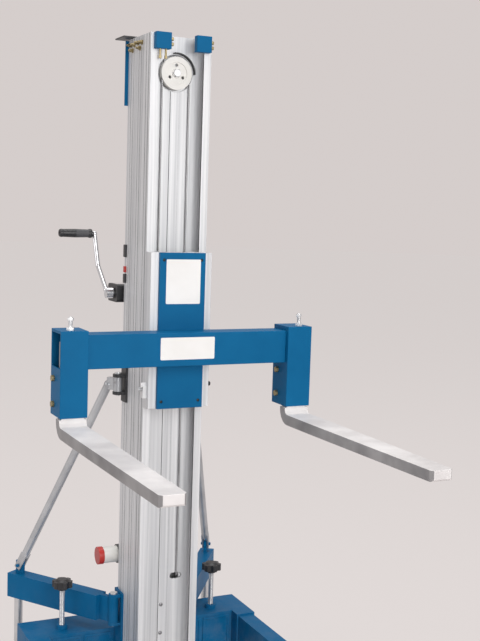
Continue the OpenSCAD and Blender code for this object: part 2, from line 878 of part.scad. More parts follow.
module rope_winding() {
    rings = [for (i = [0 : winding_steps]) each winding_ring(i / winding_rings)];
    n = winding_sides;
    last = winding_steps * n;
    sides = [
        for (i = [0 : winding_steps - 1])
            for (s = [0 : n - 1])
                let (a = i * n + s, b = i * n + (s + 1) % n)
                    each [[a, b + n, b], [a, a + n, b + n]]
    ];
    caps = [
        for (s = [1 : n - 2])
            each [[0, s, s + 1], [last, last + s + 1, last + s]]
    ];
    color([0.6, 0.6, 0.62]) at_mast()
        translate([0, drum_y, drum_z]) polyhedron(points = rings, faces = concat(sides, caps), convexity = 10);
}

// Rope from the drum up to the rear sheave, over it and down inside the mast
module winch_rope() {
    color([0.6, 0.6, 0.62]) at_mast()
        translate([0, rear_sheave_y, 0])
            rotate(90) {
                translate([sheave_r, 0, fall_z]) cylinder(h = rear_sheave_z - fall_z, d = rope_d);
                translate([0, 0, rear_sheave_z])
                    rotate([90, 0, 0]) rotate_extrude(angle = 180) translate([sheave_r, 0]) circle(d = rope_d);
                translate([-sheave_r, 0, foot_z + 30])
                    cylinder(h = rear_sheave_z - foot_z - 30, d = rope_d);
            }
}

// Crank shaft with its pinion
module crank_shaft() {
    color(zinc) at_mast() {
        translate([crank_x, crank_y, crank_z]) rod_x(14, frame_x + frame_t + 16 - crank_x);
        translate([frame_x + frame_t + 2, crank_y, crank_z])
            rotate([90, 0, 90])
                linear_extrude(13) rotate(mesh_angle + 180 - 180 / pinion_teeth) gear_2d(pinion_teeth);
    }
}

// Places a shape at the crank's hub, with its arm along +Z
module at_crank() {
    translate([crank_x, crank_y, crank_z]) rotate([-crank_tilt, 0, 0]) children();
}

module crank_arm() {
    elbow = [-28, 0, crank_r * 0.46];
    tip = [-34, 0, crank_r];
    color([0.85, 0.86, 0.88]) at_mast()
        at_crank() {
            difference() {
                translate([-8, 0, 0]) rod_x(32, 20);
                rod_x(14, 30);
            }
            translate([-6, 0, 8]) sphere(r = 8.5);
            bar([-6, 0, 8], elbow, 14);
            translate(elbow) sphere(d = 15);
            bar(elbow, tip, 14);
            translate(tip) sphere(d = 16);
            translate(tip + [-grip_len - 4, 0, 0]) rod_x(10, grip_len + 4);
        }
}

module crank_grip() {
    color(black) at_mast()
        at_crank()
            translate([-34 - 9, 0, crank_r])
                rotate([0, -90, 0])
                    rotate_extrude()
                        polygon([
                            [5 + run_gap, 0], [12.5, 0], [13.5, 5], [11.5, 12], [12.5, 50],
                            [11.5, 86], [12, 92], [10, 97], [5 + run_gap, 97]
                        ]);
}

// Places a shape at a stabilizer's pivot, its arm along +Y
module at_pivot(side) {
    translate([side * arm_pivot_x, arm_pivot_y, 0]) rotate(-side * arm_angle) children();
}

brace_foot_r = arm_len - 32;
brace_foot_z = arm_top + 26;
jack_d = 26;

// Box arm with a pivot barrel, a jack sleeve and a lug for the brace
module stabilizer_arm(side) {
    low = arm_top - arm_h;
    color(blue) at_mast()
        at_pivot(side)
            difference() {
                union() {
                    translate([0, 0, low]) cylinder(h = arm_h, r = 15);
                    difference() {
                        translate([-arm_w / 2, 46, low]) cube([arm_w, arm_len - 46, arm_h]);
                        translate([-arm_w / 2 + 4, 50, low + 4]) cube([arm_w - 8, arm_len - 54, arm_h - 8]);
                    }
                    translate([-8, 0, low]) cube([16, 50, arm_h]);
                    translate([0, jack_r, low]) cylinder(h = arm_h, r = jack_d / 2 + 4);
                    translate([-5, brace_foot_r - 14, arm_top - e]) cube([10, 28, 40]);
                    translate([-16, brace_foot_r, brace_foot_z]) rod_x(10, 32);
                }
                translate([0, 0, low - 1]) cylinder(h = arm_h + 2, d = 14 + 2 * run_gap);
                translate([0, jack_r, low - 1]) cylinder(h = arm_h - 3, d = jack_d + 2 * run_gap);
            }
}

module left_arm() { stabilizer_arm(-1); }
module right_arm() { stabilizer_arm(1); }

// Silver brace from the arm's end up to the mast
module brace(side) {
    top = [0, 34, brace_z - 4];
    foot = [0, brace_foot_r, brace_foot_z];
    run = (foot - top) / norm(foot - top);
    color(zinc) at_mast()
        at_pivot(side)
            difference() {
                union() {
                    translate([0, 0, brace_z - barrel_h / 2]) cylinder(h = barrel_h, r = 13);
                    translate([-8, 0, brace_z - 18]) cube([16, 34, 36]);
                    translate(top) sphere(d = brace_d + 2);
                    bar(top, foot - 34 * run, brace_d);
                    for (x = [-11, 6])
                        translate([x, brace_foot_r, brace_foot_z])
                            rotate([atan2(foot[1] - top[1], top[2] - foot[2]), 0, 0])
                                translate([0, -11, -11]) cube([5, 22, 58]);
                }
                translate([0, 0, brace_z - 40]) cylinder(h = 80, d = 12 + 2 * run_gap);
                translate([-30, brace_foot_r, brace_foot_z]) rod_x(10 + 2 * run_gap, 60);
            }
}

module left_brace() { brace(-1); }
module right_brace() { brace(1); }

// Sliding foot of a stabilizer
module jack(side) {
    color(zinc) at_mast()
        at_pivot(side)
            translate([0, jack_r, 0])
                rotate_extrude()
                    polygon([
                        [0, 0], [pad_d / 2, 0], [pad_d / 2, 6], [pad_d / 2 - 10, 10], [jack_d / 2 + 4, 12],
                        [jack_d / 2 + 4, 26], [jack_d / 2, 30],
                        [jack_d / 2, arm_top - arm_h + 8], [0, arm_top - arm_h + 8]
                    ]);
}

module left_jack() { jack(-1); }
module right_jack() { jack(1); }

screw_len = 358;

// Levelling screw with its foot, through the cross beam
module levelling_screw(side, knob_z) {
    color(zinc) at_mast()
        translate([side * knob_x, knob_y, knob_z - screw_len - 10])
            rotate_extrude()
                polygon([
                    [0, 0], [26, 0], [26, 5], [14, 10], [screw_d / 2, 10],
                    [screw_d / 2, screw_len + 26], [0, screw_len + 26]
                ]);
}

module left_screw() { levelling_screw(-1, left_knob_z); }
module right_screw() { levelling_screw(1, right_knob_z); }

// Lobed hand knob on a levelling screw
module levelling_knob(side, knob_z) {
    color(black) at_mast()
        translate([side * knob_x, knob_y, knob_z])
            difference() {
                union() {
                    cylinder(h = 10, r = 14);
                    translate([0, 0, 8]) cylinder(h = 20, r = 30);
                    translate([0, 0, 27]) cylinder(h = 6, r1 = 24, r2 = 15);
                }
                for (a = [0 : 60 : 300])
                    rotate(a) translate([35, 0, -1]) cylinder(h = 40, r = 11);
                translate([0, 0, -1]) cylinder(h = 17 + seat_gap, d = screw_d + 2 * run_gap);
            }
}

module left_knob() { levelling_knob(-1, left_knob_z); }
module right_knob() { levelling_knob(1, right_knob_z); }

// Swivelling caster fork under a front leg
module caster_fork(side) {
    head_z = leg_top - leg_h - seat_gap;
    hub_z = caster_d / 2;
    cheek = caster_w / 2 + 3;
    color(zinc) at_mast()
        translate([side * leg_x, caster_y, 0]) {
            translate([0, 0, head_z - 12]) cylinder(h = 12, d = 56);
            translate([0, 0, head_z - 1]) cylinder(h = 12, d = 20 - 2 * run_gap);
            for (x = [-cheek - 4, cheek])
                translate([x, 0, 0])
                    rotate([90, 0, 90])
                        linear_extrude(4)
                            polygon([
                                [-20, head_z - 11], [24, head_z - 11], [caster_trail + 14, hub_z + 6],
                                [caster_trail + 8, hub_z - 13], [caster_trail - 8, hub_z - 13],
                                [caster_trail - 14, hub_z + 6]
                            ]);
            translate([-cheek - 4, -20, head_z - 15]) cube([2 * cheek + 8, 44, 5]);
            translate([-cheek - 7, caster_trail, hub_z]) rod_x(10, 2 * cheek + 14);
        }
}

module left_caster_fork() { caster_fork(-1); }
module right_caster_fork() { caster_fork(1); }

// A wheel about X with a rounded tread and a dished hub
module wheel(d, w, bore) {
    rotate([0, 90, 0])
        rotate_extrude($fn = 96)
            polygon([
                [bore, -w / 2 - 2.4], [14, -w / 2 - 2.4], [14, -w / 2 + 6], [d / 2 - 20, -w / 2 + 6],
                [d / 2 - 16, -w / 2], [d / 2 - 5, -w / 2], [d / 2, -w / 2 + 6],
                [d / 2, w / 2 - 6], [d / 2 - 5, w / 2], [d / 2 - 16, w / 2],
                [d / 2 - 20, w / 2 - 6], [14, w / 2 - 6], [14, w / 2 + 2.4], [bore, w / 2 + 2.4]
            ]);
}

module caster_wheel(side) {
    color([0.16, 0.16, 0.17]) at_mast()
        translate([side * leg_x, caster_y + caster_trail, caster_d / 2]) wheel(caster_d, caster_w, 5 + run_gap);
}

module left_caster_wheel() { caster_wheel(-1); }
module right_caster_wheel() { caster_wheel(1); }

module rear_wheel(side) {
    color([0.16, 0.16, 0.17]) at_mast()
        translate([side * wheel_x, wheel_y, wheel_d / 2]) {
            wheel(wheel_d, wheel_w, 7);
            translate([-wheel_w / 2 - 12, 0, 0]) rod_x(16, wheel_w + 24);
        }
}

module left_rear_wheel() { rear_wheel(-1); }
module right_rear_wheel() { rear_wheel(1); }

// White storage tube across the back of the mast
module canister() {
    color(nylon) at_mast()
        translate([canister_x, canister_y, canister_z]) {
            rod_x(2 * canister_r, canister_len);
            translate([-neck_len, 0, 0]) rod_x(2 * canister_r - 6, neck_len + 1);
        }
}

// Black strap that holds the storage tube
module canister_bracket() {
    color(black) at_mast()
        for (x = [-84, 40])
            translate([x, canister_y, canister_z])
                difference() {
                    union() {
                        rod_x(2 * canister_r + 8, 14);
                        translate([0, mast_back - canister_y, -canister_r - 12]) cube([14, 8, 2 * canister_r + 24]);
                    }
                    translate([-1, 0, 0]) rod_x(2 * canister_r + 2 * run_gap, 16);
                }
}

// Red screw cap of the storage tube
module canister_cap() {
    color([0.75, 0.1, 0.1]) at_mast()
        translate([canister_x - seat_gap - cap_len, canister_y, canister_z])
            difference() {
                rod_x(2 * canister_r + 4, cap_len);
                translate([cap_len - neck_len - seat_gap, 0, 0]) rod_x(2 * canister_r - 6 + 2 * run_gap, cap_len);
            }
}

base_frame();
left_leg();
right_leg();
base_bolts();
column_1();
rear_head();
rear_sheave();
column_top_plates();
brace_brackets();
stabilizer_pins();
column_2();
column_2_glides();
column_3();
column_3_glides();
top_blocks();
top_bolts();
sheave_carrier();
rope_guard();
head_rope();
head_sheave();
carriage_frame();
carriage_plate();
carriage_glides();
rope_anchor();
lift_rope();
carriage_latch();
fork_beam();
left_fork_bracket();
right_fork_bracket();
left_fork();
right_fork();
fork_bolts();
winch_frame();
winch_housing();
winch_drum();
drum_gear();
rope_winding();
winch_rope();
crank_shaft();
crank_arm();
crank_grip();
left_arm();
right_arm();
left_brace();
right_brace();
left_jack();
right_jack();
left_screw();
right_screw();
left_knob();
right_knob();
left_caster_fork();
right_caster_fork();
left_caster_wheel();
right_caster_wheel();
left_rear_wheel();
right_rear_wheel();
canister();
canister_bracket();
canister_cap();
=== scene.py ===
# %% [markdown]
# # A hand-cranked material hoist
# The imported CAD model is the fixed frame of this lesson: three nested mast columns, a fork
# carriage, a geared winch and a wheeled base. Each step dresses one part of it. Rounded copies
# take the place of sharp solids, wire rope gets its strands, screws get their threads, and
# every surface gets a finish made of shader nodes. All sizes are metres.

# %% Load the frame
import json
import math

import bmesh
import bpy
from mathutils import Matrix, Vector

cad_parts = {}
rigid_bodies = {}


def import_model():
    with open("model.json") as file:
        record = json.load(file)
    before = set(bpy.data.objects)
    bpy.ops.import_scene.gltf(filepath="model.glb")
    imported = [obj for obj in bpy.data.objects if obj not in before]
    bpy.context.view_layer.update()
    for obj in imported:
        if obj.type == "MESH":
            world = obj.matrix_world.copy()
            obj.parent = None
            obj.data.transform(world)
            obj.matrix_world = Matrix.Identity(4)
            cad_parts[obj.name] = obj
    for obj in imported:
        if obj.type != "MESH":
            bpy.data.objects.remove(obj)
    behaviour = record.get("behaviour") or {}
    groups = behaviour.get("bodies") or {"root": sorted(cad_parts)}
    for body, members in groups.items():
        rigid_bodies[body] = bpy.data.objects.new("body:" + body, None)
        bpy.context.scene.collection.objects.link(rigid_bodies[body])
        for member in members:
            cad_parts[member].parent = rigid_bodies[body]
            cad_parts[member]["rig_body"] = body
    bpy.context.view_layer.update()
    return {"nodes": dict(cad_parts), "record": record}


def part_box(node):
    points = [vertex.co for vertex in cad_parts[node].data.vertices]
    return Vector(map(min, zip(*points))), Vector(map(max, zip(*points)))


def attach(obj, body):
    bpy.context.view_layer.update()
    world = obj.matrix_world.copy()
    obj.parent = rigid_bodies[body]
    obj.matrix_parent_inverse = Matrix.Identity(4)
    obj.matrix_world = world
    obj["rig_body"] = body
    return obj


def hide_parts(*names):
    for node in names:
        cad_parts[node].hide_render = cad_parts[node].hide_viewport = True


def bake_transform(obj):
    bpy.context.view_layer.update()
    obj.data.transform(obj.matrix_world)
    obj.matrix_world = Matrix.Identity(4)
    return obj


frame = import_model()
nodes = frame["nodes"]
slot_of = {row["node"]: row["material_slot"] for row in frame["record"]["subparts"]}
scene = bpy.context.scene
MM = 0.001
MAST_Y = 0.2533926  # the mast's middle, from front to back
SIDES = {"left": -1, "right": 1}
X_AXIS, Y_AXIS, Z_AXIS = Vector((1, 0, 0)), Vector((0, 1, 0)), Vector((0, 0, 1))


def corners_of(node):
    """The low and the high corner of a node's box."""
    return [Vector(corner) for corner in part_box(node)]


# %% [markdown]
# ## The camera
# The photograph looks slightly down on the hoist from its front left. The place and the turn
# of the camera were fitted to corners of the solids, so the camera is given as three axes
# instead of angles: right, up and back.

# %% Camera
LENS, SENSOR = 60.633, 36
CAMERA_PLACE = (-1.1284, -2.6176, 1.5131)
RIGHT = Vector((0.90312, -0.42810, 0.03152))
UP = Vector((0.01548, 0.10597, 0.99427))
BACK = Vector((-0.42905, -0.89751, 0.10239))

camera_data = bpy.data.cameras.new("camera")
camera_data.lens = LENS
camera_data.sensor_width = SENSOR
camera = bpy.data.objects.new("camera", camera_data)
scene.collection.objects.link(camera)
turn = Matrix((RIGHT, UP, BACK)).transposed().to_4x4()
camera.matrix_world = Matrix.Translation(CAMERA_PLACE) @ turn
scene.camera = camera
print("camera", tuple(round(c, 3) for c in camera.location))

# %% [markdown]
# ## Helpers for meshes and nodes
# A mesh is built in a bmesh and then turned into an object. A shader is built from nodes, and
# each input of a node takes either a constant or another node's output. One small function
# tells the two apart, so the recipes below stay short.

# %% Mesh helpers
def new_object(name, bm, material=None):
    """Makes a mesh object from a bmesh and frees it."""
    mesh = bpy.data.meshes.new(name)
    bm.to_mesh(mesh)
    bm.free()
    thing = bpy.data.objects.new(name, mesh)
    scene.collection.objects.link(thing)
    if material:
        mesh.materials.append(material)
    return thing


def shade_by_angle(bm, degrees):
    """Smooth faces, with a sharp edge where two of them meet at a larger angle."""
    for face in bm.faces:
        face.smooth = True
    for edge in bm.edges:
        joined = len(edge.link_faces) == 2
        edge.smooth = joined and edge.calc_face_angle(0) < math.radians(degrees)


def block(size):
    """A box of this size round the origin."""
    bm = bmesh.new()
    bmesh.ops.create_cube(bm, size=1.0)
    bmesh.ops.scale(bm, verts=bm.verts, vec=size)
    return bm


def soften(bm, edges, radius, segments):
    bmesh.ops.bevel(bm, geom=edges, offset=radius, segments=segments, profile=0.5,
                    affect="EDGES", material=-1)


def add_copy(bm, one):
    """Moves a small finished bmesh into a larger one."""
    kept = bpy.data.meshes.new("kept")
    one.to_mesh(kept)
    one.free()
    bm.from_mesh(kept)
    bpy.data.meshes.remove(kept)


# %% Node helpers
def add_node(tree, kind, **values):
    item = tree.nodes.new(kind)
    for key, value in values.items():
        setattr(item, key, value)
    return item


def feed(tree, value, socket):
    """Links an output to a socket, or sets a colour or a number on it."""
    if isinstance(value, bpy.types.NodeSocket):
        tree.links.new(value, socket)
    else:
        socket.default_value = (*value, 1) if isinstance(value, tuple) else value


def math_node(tree, operation, a, b):
    item = add_node(tree, "ShaderNodeMath", operation=operation)
    feed(tree, a, item.inputs[0])
    feed(tree, b, item.inputs[1])
    return item.outputs[0]


def new_material(name):
    mat = bpy.data.materials.new(name)
    mat.use_nodes = True
    return mat, mat.node_tree, mat.node_tree.nodes["Principled BSDF"]


# %% [markdown]
# ## Floor and light
# The photograph has one plain pale tone from the floor to the top, so the floor is a wide disc
# and the air behind it has the same tone. The camera and mirrored rays see that tone, while the
# object still drops a shadow on the disc. Bare metal shows little of its own colour, so the big
# soft lamps and the pale room are what it mirrors.

# %% Studio floor and air
FLOOR_RADIUS = 40.0
FLOOR_PAINT, FLOOR_TONE = (0.66, 0.61, 0.60), (0.785, 0.732, 0.716)
FLOOR_ROUGH, FLOOR_GLOSS = 0.9, 0.1
FLOOR_GLOW = 0.76  # how much of the floor's look is its plain tone
AIR_LIGHT, AIR_STRENGTH = (0.80, 0.79, 0.80), 0.5
AIR_TONE = (0.666, 0.615, 0.602)
SEEN_RAYS = ("Is Camera Ray", "Is Glossy Ray", "Is Transmission Ray")


def seen_rays(tree):
    """One for a ray that shows the plain tone, and otherwise zero."""
    rays = add_node(tree, "ShaderNodeLightPath").outputs
    total = rays[SEEN_RAYS[0]]
    for kind in SEEN_RAYS[1:]:
        total = math_node(tree, "MAXIMUM", total, rays[kind])
    return total


def mix_shaders(tree, factor, lit, plain, end):
    mix = add_node(tree, "ShaderNodeMixShader")
    for source, socket in zip((factor, lit.outputs[0], plain.outputs[0]), mix.inputs):
        feed(tree, source, socket)
    feed(tree, mix.outputs[0], end.inputs["Surface"])


def floor_material():
    mat, tree, shader = new_material("studio_floor")
    feed(tree, FLOOR_PAINT, shader.inputs["Base Color"])
    feed(tree, FLOOR_ROUGH, shader.inputs["Roughness"])
    feed(tree, FLOOR_GLOSS, shader.inputs["Specular IOR Level"])
    glow = add_node(tree, "ShaderNodeEmission")
    feed(tree, FLOOR_TONE, glow.inputs["Color"])
    share = math_node(tree, "MULTIPLY", seen_rays(tree), FLOOR_GLOW)
    mix_shaders(tree, share, shader, glow, tree.nodes["Material Output"])
    return mat


bm = bmesh.new()
bmesh.ops.create_circle(bm, cap_ends=True, segments=96, radius=FLOOR_RADIUS)
floor = new_object("studio_floor", bm, floor_material())

world = bpy.data.worlds.new("studio_air")
scene.world = world
world.use_nodes = True
sky = world.node_tree
air = sky.nodes["Background"]
feed(sky, AIR_LIGHT, air.inputs["Color"])
feed(sky, AIR_STRENGTH, air.inputs["Strength"])
tone = add_node(sky, "ShaderNodeBackground")
feed(sky, AIR_TONE, tone.inputs["Color"])
mix_shaders(sky, seen_rays(sky), air, tone, sky.nodes["World Output"])
scene.view_settings.view_transform = "Standard"

# %% Lamps
LAMPS = (  # name, place, target, width and height, watts
    ("front_softbox", (0.1, -3.9, 2.5), (0, 0.1, 0.9), (2.2, 2.2), 64),
    ("left_fill", (-3.4, 0.4, 2.0), (0, 0.2, 0.9), (1.6, 2.4), 24),
    ("front_low", (-0.4, -5.2, 1.6), (0, 0.3, 0.2), (3.0, 1.4), 70),
    ("top_softbox", (0.2, 0.2, 7.5), (0, 0.2, 0), (5.0, 5.0), 270),
)
for name, place, target, size, power in LAMPS:
    lamp = bpy.data.lights.new(name, "AREA")
    lamp.shape = "RECTANGLE"
    lamp.size, lamp.size_y = size
    lamp.energy = power
    thing = bpy.data.objects.new(name, lamp)
    scene.collection.objects.link(thing)
    thing.location = place
    aim = Vector(target) - Vector(place)
    thing.rotation_euler = aim.to_track_quat("-Z", "Y").to_euler()
print("stage and", len(LAMPS), "lamps ready")

# %% [markdown]
# ## Shared shader groups
# Every finish on the hoist is used, not new. Four small node groups hold what the finishes have
# in common: drawn streaks for the extrusions, a pebbled skin for paint and mouldings, scuffs
# where the coat is worn, and dust that gathers low down. Each puts out masks or heights only,
# so the shaders stay in the materials and the export can read them.

# %% Parts of a group
EVEN = (1, 1, 1)


def new_group(name, inputs, outputs):
    """An empty group, with the sockets that bring values in and those that take them out."""
    group = bpy.data.node_groups.new(name, "ShaderNodeTree")
    for label, value in inputs.items():
        socket = group.interface.new_socket(label, in_out="INPUT", socket_type="NodeSocketFloat")
        socket.default_value = value
    for label in outputs:
        group.interface.new_socket(label, in_out="OUTPUT", socket_type="NodeSocketFloat")
    start = add_node(group, "NodeGroupInput")
    end = add_node(group, "NodeGroupOutput")
    return group, start.outputs, end.inputs


def object_noise(tree, scale, stretch, detail, rough=0.55):
    """Noise on Object coordinates, stretched along each axis."""
    place = add_node(tree, "ShaderNodeTexCoord")
    mapping = add_node(tree, "ShaderNodeMapping")
    mapping.inputs["Scale"].default_value = stretch
    noise = add_node(tree, "ShaderNodeTexNoise")
    feed(tree, scale, noise.inputs["Scale"])
    feed(tree, detail, noise.inputs["Detail"])
    feed(tree, rough, noise.inputs["Roughness"])
    feed(tree, place.outputs["Object"], mapping.inputs["Vector"])
    feed(tree, mapping.outputs["Vector"], noise.inputs["Vector"])
    return noise.outputs["Fac"]


def ramp(tree, source, low, high, start=0.0, end=1.0):
    item = add_node(tree, "ShaderNodeMapRange")
    for label, value in (("Value", source), ("From Min", low), ("From Max", high),
                         ("To Min", start), ("To Max", end)):
        feed(tree, value, item.inputs[label])
    return item.outputs["Result"]


# %% Groups: streaks, pebbled skin, scuffs and dust
def streak_group():
    group, start, end = new_group("drawn_streaks", {"Scale": 60.0}, ["Streak", "Soft"])
    fine = object_noise(group, start["Scale"], (1, 1, 0.012), 5.0)
    wide = object_noise(group, 26.0, (1, 1, 0.03), 2.0)
    feed(group, fine, end["Streak"])
    feed(group, ramp(group, wide, 0.35, 0.7), end["Soft"])
    return group


def skin_group():
    group, start, end = new_group("pebbled_skin", {"Scale": 700.0}, ["Height", "Mottle"])
    fine = object_noise(group, start["Scale"], EVEN, 2.0)
    slow = object_noise(group, 9.0, EVEN, 3.0)
    feed(group, fine, end["Height"])
    feed(group, ramp(group, slow, 0.3, 0.7), end["Mottle"])
    return group


def scuff_group():
    group, start, end = new_group("scuffs", {"Scale": 40.0, "Amount": 0.5}, ["Mask"])
    spots = object_noise(group, start["Scale"], (1.6, 0.5, 1.0), 6.0, 0.72)
    patches = object_noise(group, 5.0, EVEN, 2.0)
    both = math_node(group, "MULTIPLY", spots, patches)
    worn = math_node(group, "MULTIPLY", start["Amount"], 0.14)
    over = math_node(group, "SUBTRACT", both, math_node(group, "SUBTRACT", 0.48, worn))
    clamp = add_node(group, "ShaderNodeClamp")
    feed(group, math_node(group, "MULTIPLY", over, 30.0), clamp.inputs["Value"])
    feed(group, clamp.outputs[0], end["Mask"])
    return group


def dust_group():
    group, start, end = new_group("low_dust", {"Height": 0.35, "Amount": 0.5}, ["Mask"])
    place = add_node(group, "ShaderNodeTexCoord")
    split = add_node(group, "ShaderNodeSeparateXYZ")
    feed(group, place.outputs["Object"], split.inputs[0])
    low = math_node(group, "DIVIDE", split.outputs["Z"], start["Height"])
    fall = ramp(group, low, 0.0, 1.0, 1.0, 0.0)
    grain = ramp(group, object_noise(group, 22.0, EVEN, 5.0, 0.65), 0.4, 0.75)
    cover = math_node(group, "MULTIPLY", fall, grain)
    feed(group, math_node(group, "MULTIPLY", cover, start["Amount"]), end["Mask"])
    return group


GROUPS = {"streaks": streak_group(), "skin": skin_group(), "scuffs": scuff_group(),
          "dust": dust_group()}
print("groups", sorted(GROUPS))

# %% [markdown]
# ## The finishes
# One function builds a finish from plain facts: its two shades, how metallic and how rough it
# is, how deep its skin or streaks are, and how much it is scuffed. A constant goes straight on
# the shader's own socket. Only what changes over the surface runs through nodes.

# %% Finish function
BUMP_STRENGTH = 0.35
DUST_COLOUR = (0.36, 0.33, 0.29)
SCUFF_ROUGHER, DUST_ROUGHER = 0.15, 0.3


def group_node(tree, name, **values):
    item = add_node(tree, "ShaderNodeGroup", node_tree=GROUPS[name])
    for label, value in values.items():
        item.inputs[label].default_value = value
    return item.outputs


def mix_colour(tree, factor, a, b):
    item = add_node(tree, "ShaderNodeMix", data_type="RGBA")
    for value, place in ((factor, 0), (a, 6), (b, 7)):  # the sockets of a colour mix
        feed(tree, value, item.inputs[place])
    return item.outputs[2]


def rougher(tree, roughness, mask, share):
    return math_node(tree, "ADD", roughness, math_node(tree, "MULTIPLY", mask, share))


def finish(name, colour, second, metallic, rough, skin, streak=None, scuff=None, dust=0.35,
           gloss=0.5):
    """rough is its range, skin is (scale, depth in mm), streak is (scale, share of the fine
    lines) and scuff is (scale, amount, colour)."""
    mat, tree, shader = new_material(name)
    feed(tree, metallic, shader.inputs["Metallic"])
    feed(tree, gloss, shader.inputs["Specular IOR Level"])
    pebble = group_node(tree, "skin", Scale=skin[0])
    shade, height = pebble["Mottle"], pebble["Height"]
    roughness = ramp(tree, pebble["Mottle"], 0.0, 1.0, *rough)
    if streak:
        lines = group_node(tree, "streaks", Scale=streak[0])
        height = lines["Streak"]
        fine = math_node(tree, "MULTIPLY", ramp(tree, height, 0.3, 0.72), streak[1])
        soft = math_node(tree, "MULTIPLY", lines["Soft"], 1 - streak[1])
        shade = math_node(tree, "ADD", fine, soft)
        roughness = ramp(tree, height, 0.25, 0.75, *rough)
    paint = mix_colour(tree, shade, colour, second)
    if scuff:
        mark = group_node(tree, "scuffs", Scale=scuff[0], Amount=scuff[1])["Mask"]
        paint = mix_colour(tree, mark, paint, scuff[2])
        roughness = rougher(tree, roughness, mark, SCUFF_ROUGHER)
    dirt = group_node(tree, "dust", Amount=dust)["Mask"]
    feed(tree, mix_colour(tree, dirt, paint, DUST_COLOUR), shader.inputs["Base Color"])
    feed(tree, rougher(tree, roughness, dirt, DUST_ROUGHER), shader.inputs["Roughness"])
    bump = add_node(tree, "ShaderNodeBump")
    feed(tree, BUMP_STRENGTH, bump.inputs["Strength"])
    feed(tree, skin[1] * MM, bump.inputs["Distance"])
    feed(tree, height, bump.inputs["Height"])
    feed(tree, bump.outputs["Normal"], shader.inputs["Normal"])
    return mat


# %% One finish for each material slot
FINISH = {
    "blue_paint": finish(
        "blue_enamel", (0.002, 0.108, 0.255), (0.003, 0.126, 0.290), 0.0, (0.40, 0.52),
        (420, 0.25), scuff=(46, 0.25, (0.08, 0.19, 0.30)), gloss=0.10),
    "mast_aluminium": finish(
        "mill_aluminium", (0.50, 0.51, 0.525), (0.88, 0.885, 0.89), 0.3, (0.32, 0.52),
        (500, 0.12), streak=(110, 0.65), scuff=(70, 0.15, (0.42, 0.43, 0.44))),
    "zinc_steel": finish(
        "bright_zinc", (0.58, 0.59, 0.60), (0.74, 0.75, 0.76), 0.8, (0.28, 0.42),
        (260, 0.15), scuff=(60, 0.3, (0.40, 0.40, 0.41))),
    "yellow_zinc": finish(
        "yellow_zinc", (0.28, 0.22, 0.11), (0.42, 0.35, 0.20), 0.85, (0.30, 0.44), (300, 0.1)),
    "black_steel": finish(
        "satin_black", (0.018, 0.018, 0.020), (0.034, 0.034, 0.037), 0.0, (0.36, 0.5),
        (520, 0.25), scuff=(50, 0.3, (0.22, 0.22, 0.23))),
    "black_plastic": finish(
        "moulded_black", (0.014, 0.014, 0.016), (0.024, 0.024, 0.027), 0.0, (0.34, 0.48),
        (900, 0.35)),
    "nylon": finish(
        "white_nylon", (0.74, 0.73, 0.69), (0.84, 0.83, 0.80), 0.0, (0.38, 0.5), (600, 0.15)),
    "wire_rope": finish(
        "rope_strand", (0.30, 0.30, 0.31), (0.48, 0.48, 0.49), 0.85, (0.32, 0.45), (900, 0.1)),
    "gear_steel": finish(
        "machined_gear", (0.24, 0.24, 0.25), (0.36, 0.36, 0.37), 0.8, (0.32, 0.48), (400, 0.1)),
    "chrome": finish(
        "polished_bar", (0.62, 0.63, 0.65), (0.72, 0.73, 0.75), 0.95, (0.10, 0.18), (500, 0.03)),
    "wheel_rubber": finish(
        "wheel_tread", (0.024, 0.024, 0.025), (0.042, 0.041, 0.040), 0.0, (0.6, 0.78),
        (500, 0.3), dust=0.7),
    "red_plastic": finish(
        "red_cap", (0.42, 0.022, 0.018), (0.52, 0.034, 0.026), 0.0, (0.28, 0.4), (700, 0.15)),
}
print("slot finishes", len(FINISH))

# %% Finishes for parts of a piece
GALVANISED = finish(
    "galvanised_fork", (0.60, 0.575, 0.57), (0.80, 0.775, 0.765), 0.15, (0.45, 0.62),
    (90, 0.2), scuff=(34, 0.5, (0.46, 0.45, 0.44)))
# The forks' sides are painted darker than their tops: painted shade for sides that face away
# from the top light, with scuff marks as wear.
FORK_SIDE_SHADE = finish(
    "shaded_fork_side", (0.20, 0.195, 0.20), (0.40, 0.39, 0.39), 0.3, (0.45, 0.62),
    (120, 0.4), scuff=(50, 0.6, (0.12, 0.118, 0.12)))
# A dark finish for the mast's grooves, rib flanks and lip edges: painted shade where these
# recesses fall dark, with some grime.
GROOVE_SHADE_AND_GRIME = finish(
    "groove_shade_and_grime", (0.020, 0.021, 0.023), (0.06, 0.062, 0.066), 0.2, (0.5, 0.65),
    (500, 0.1), streak=(70, 0.5))
BRACE_STEEL = finish(
    "dull_steel", (0.36, 0.37, 0.385), (0.54, 0.55, 0.565), 0.6, (0.30, 0.44),
    (260, 0.15), scuff=(60, 0.3, (0.26, 0.26, 0.27)))
WHEEL_HUB = finish(
    "wheel_hub", (0.34, 0.34, 0.35), (0.44, 0.44, 0.45), 0.6, (0.35, 0.5), (300, 0.15))
GRIP_BAND = finish(
    "grip_band", (0.055, 0.055, 0.060), (0.075, 0.075, 0.080), 0.0, (0.5, 0.62), (1200, 0.4))
BLANK_LABEL = finish(
    "blank_label", (0.80, 0.79, 0.765), (0.86, 0.855, 0.84), 0.0, (0.34, 0.44),
    (800, 0.06), scuff=(60, 0.2, (0.62, 0.60, 0.57)), dust=0.0)
print("finishes for parts of a piece ready")

# %% [markdown]
# ## Rounded copies of the solids
# No real edge is perfectly sharp: folded steel, cast nylon and sawn extrusions all catch a thin
# line of light. A CAD solid arrives as loose triangles, so a copy is merged, its flat triangles
# are dissolved into whole faces, and a Bevel modifier rounds the edges. A weighted-normal
# modifier keeps the big faces flat. The copy stands for the solid and rides on its body.

# %% Rounding helper
WELD = 1e-5
FLAT_DEGREES, SMOOTH_DEGREES, BEVEL_DEGREES = 0.6, 28, 32


